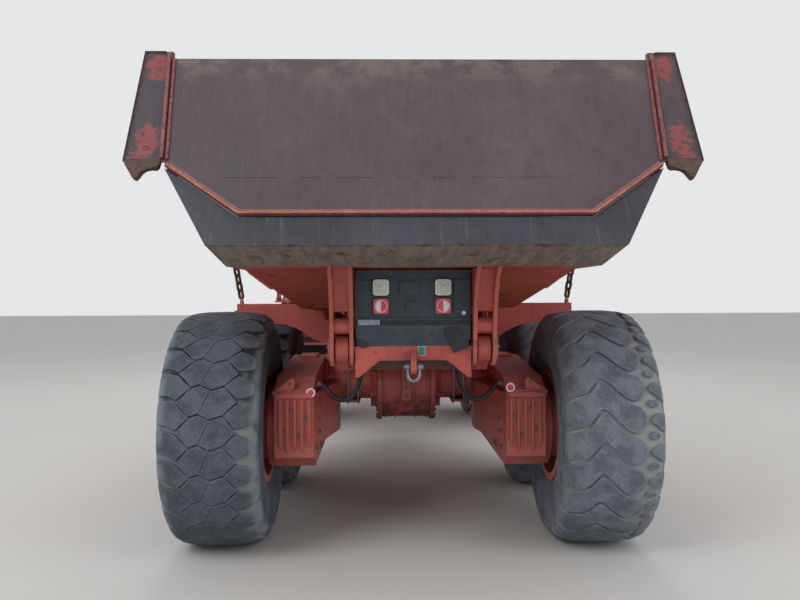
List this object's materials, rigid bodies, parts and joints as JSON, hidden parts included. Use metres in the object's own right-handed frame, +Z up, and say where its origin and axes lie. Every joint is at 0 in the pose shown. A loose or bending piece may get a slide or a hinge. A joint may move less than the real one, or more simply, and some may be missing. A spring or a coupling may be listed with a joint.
{
  "type": "articulated dump truck",
  "caption": "Articulated dump truck with a hinged front unit, tandem rear bogie, tipping body with overhung tailgate, hinged hood and cab door.",
  "frame": {"origin": "middle of the overall length and width, on the ground under the tyres", "axes": "+Y forwards, towards the cab and hood; +X to the right of the driver; +Z up"},
  "size_m": [3.16, 9.9, 3.49],
  "materials": {
    "orange_paint": "faded and dusty",
    "worn_steel": "worn and rusty",
    "black_plastic": "matte",
    "black_metal": "matte",
    "grey_metal": "cast",
    "bare_steel": "weathered",
    "chrome": "polished",
    "hose_rubber": "matte",
    "tyre": "dusty",
    "glass": "clear",
    "lamp_lens": "clear"
  },
  "bodies": {
    "rear_unit": {"rear_frame": "orange_paint", "rear_axle": "orange_paint", "bogie_left": "orange_paint", "bogie_right": "orange_paint", "tail_panel": "black_plastic", "rear_lamps": "lamp_lens", "tow_shackle": "bare_steel", "tail_chains": "bare_steel", "brake_hoses": "hose_rubber"},
    "hitch": {"hitch": "orange_paint"},
    "front_unit": {"front_frame": "orange_paint", "front_axle": "orange_paint", "engine_block": "grey_metal", "bumper": "orange_paint", "front_lamps": "lamp_lens", "fenders": "orange_paint", "cab_shell": "orange_paint", "cab_glass": "glass", "cab_fittings": "black_plastic", "mirrors": "black_plastic", "exhaust_stack": "bare_steel", "side_tanks": "orange_paint"},
    "cab_door": {"cab_door": "orange_paint", "cab_door_glass": "glass"},
    "hood": {"hood": "orange_paint", "grille": "black_metal"},
    "dump_body": {"dump_body": "worn_steel"},
    "tailgate": {"tailgate": "worn_steel", "tailgate_arms": "worn_steel"},
    "hoist_barrel_left": {"hoist_barrel_left": "orange_paint"},
    "hoist_barrel_right": {"hoist_barrel_right": "orange_paint"},
    "hoist_rod_left": {"hoist_rod_left": "chrome"},
    "hoist_rod_right": {"hoist_rod_right": "chrome"},
    "steer_barrel_left": {"steer_barrel_left": "orange_paint"},
    "steer_barrel_right": {"steer_barrel_right": "orange_paint"},
    "steer_rod_left": {"steer_rod_left": "chrome"},
    "steer_rod_right": {"steer_rod_right": "chrome"},
    "wheel_rear_left": {"tyre_rear_left": "tyre", "rim_rear_left": "orange_paint"},
    "wheel_rear_right": {"tyre_rear_right": "tyre", "rim_rear_right": "orange_paint"},
    "wheel_mid_left": {"tyre_mid_left": "tyre", "rim_mid_left": "orange_paint"},
    "wheel_mid_right": {"tyre_mid_right": "tyre", "rim_mid_right": "orange_paint"},
    "wheel_front_left": {"tyre_front_left": "tyre", "rim_front_left": "orange_paint"},
    "wheel_front_right": {"tyre_front_right": "tyre", "rim_front_right": "orange_paint"}
  },
  "joints": [
    {"name": "steer", "type": "hinge", "parent": "rear_unit", "child": "hitch", "pos_m": [0, 0.9, 1.12], "axis": [0, 0, 1], "range_deg": [-45, 45]},
    {"name": "hitch_roll", "type": "hinge", "parent": "hitch", "child": "front_unit", "pos_m": [0, 1.1, 1.12], "axis": [0, 1, 0], "range_deg": [-12, 12]},
    {"name": "hood_hinge", "type": "hinge", "parent": "front_unit", "child": "hood", "pos_m": [0, 3.19, 2.185], "axis": [1, 0, 0], "range_deg": [0, 50]},
    {"name": "cab_door_hinge", "type": "hinge", "parent": "front_unit", "child": "cab_door", "pos_m": [-0.796, 1.626, 2.5], "axis": [0, 0, 1], "range_deg": [0, 80]},
    {"name": "tip", "type": "hinge", "parent": "rear_unit", "child": "dump_body", "pos_m": [0, -4.19, 1.39], "axis": [1, 0, 0], "range_deg": [0, 70]},
    {"name": "tailgate_hinge", "type": "hinge", "parent": "dump_body", "child": "tailgate", "pos_m": [0, -2.69, 2.85], "axis": [-1, 0, 0], "range_deg": [0, 60]},
    {"name": "hoist_swing_left", "type": "hinge", "parent": "rear_unit", "child": "hoist_barrel_left", "pos_m": [-0.56, -0.15, 0.95], "axis": [1, 0, 0], "range_deg": [-18.6, 1]},
    {"name": "hoist_slide_left", "type": "slide", "parent": "hoist_barrel_left", "child": "hoist_rod_left", "axis": [0, -0.9701, 0.2425], "range_m": [-0.005, 1.89]},
    {"name": "steer_swing_left", "type": "hinge", "parent": "rear_unit", "child": "steer_barrel_left", "pos_m": [-0.54, 0.08, 1.12], "axis": [0, 0, 1], "range_deg": [-1, 1]},
    {"name": "steer_slide_left", "type": "slide", "parent": "steer_barrel_left", "child": "steer_rod_left", "axis": [0.218, 0.9759, 0], "range_m": [-0.26, 0.26]},
    {"name": "hoist_swing_right", "type": "hinge", "parent": "rear_unit", "child": "hoist_barrel_right", "pos_m": [0.56, -0.15, 0.95], "axis": [1, 0, 0], "range_deg": [-18.6, 1]},
    {"name": "hoist_slide_right", "type": "slide", "parent": "hoist_barrel_right", "child": "hoist_rod_right", "axis": [0, -0.9701, 0.2425], "range_m": [-0.005, 1.89]},
    {"name": "steer_swing_right", "type": "hinge", "parent": "rear_unit", "child": "steer_barrel_right", "pos_m": [0.54, 0.08, 1.12], "axis": [0, 0, 1], "range_deg": [-1, 1]},
    {"name": "steer_slide_right", "type": "slide", "parent": "steer_barrel_right", "child": "steer_rod_right", "axis": [-0.218, 0.9759, 0], "range_m": [-0.26, 0.26]},
    {"name": "spin_rear_left", "type": "hinge", "parent": "rear_unit", "child": "wheel_rear_left", "pos_m": [-1.2625, -3.39, 0.8], "axis": [1, 0, 0], "continuous": true},
    {"name": "spin_rear_right", "type": "hinge", "parent": "rear_unit", "child": "wheel_rear_right", "pos_m": [1.2625, -3.39, 0.8], "axis": [1, 0, 0], "continuous": true},
    {"name": "spin_mid_left", "type": "hinge", "parent": "rear_unit", "child": "wheel_mid_left", "pos_m": [-1.2625, -1.69, 0.8], "axis": [1, 0, 0], "continuous": true},
    {"name": "spin_mid_right", "type": "hinge", "parent": "rear_unit", "child": "wheel_mid_right", "pos_m": [1.2625, -1.69, 0.8], "axis": [1, 0, 0], "continuous": true},
    {"name": "spin_front_left", "type": "hinge", "parent": "front_unit", "child": "wheel_front_left", "pos_m": [-1.2625, 2.5, 0.8], "axis": [1, 0, 0], "continuous": true},
    {"name": "spin_front_right", "type": "hinge", "parent": "front_unit", "child": "wheel_front_right", "pos_m": [1.2625, 2.5, 0.8], "axis": [1, 0, 0], "continuous": true}
  ],
  "couplings": [
    {"joint": "hoist_swing_left", "follows": "tip", "ratio": -0.2585},
    {"joint": "hoist_slide_left", "follows": "tip", "m_per_rad": 1.5403},
    {"joint": "steer_swing_left", "follows": "steer", "ratio": -0.008},
    {"joint": "steer_slide_left", "follows": "steer", "m_per_rad": -0.316},
    {"joint": "hoist_swing_right", "follows": "tip", "ratio": -0.2585},
    {"joint": "hoist_slide_right", "follows": "tip", "m_per_rad": 1.5403},
    {"joint": "steer_swing_right", "follows": "steer", "ratio": 0.008},
    {"joint": "steer_slide_right", "follows": "steer", "m_per_rad": 0.316}
  ]
}
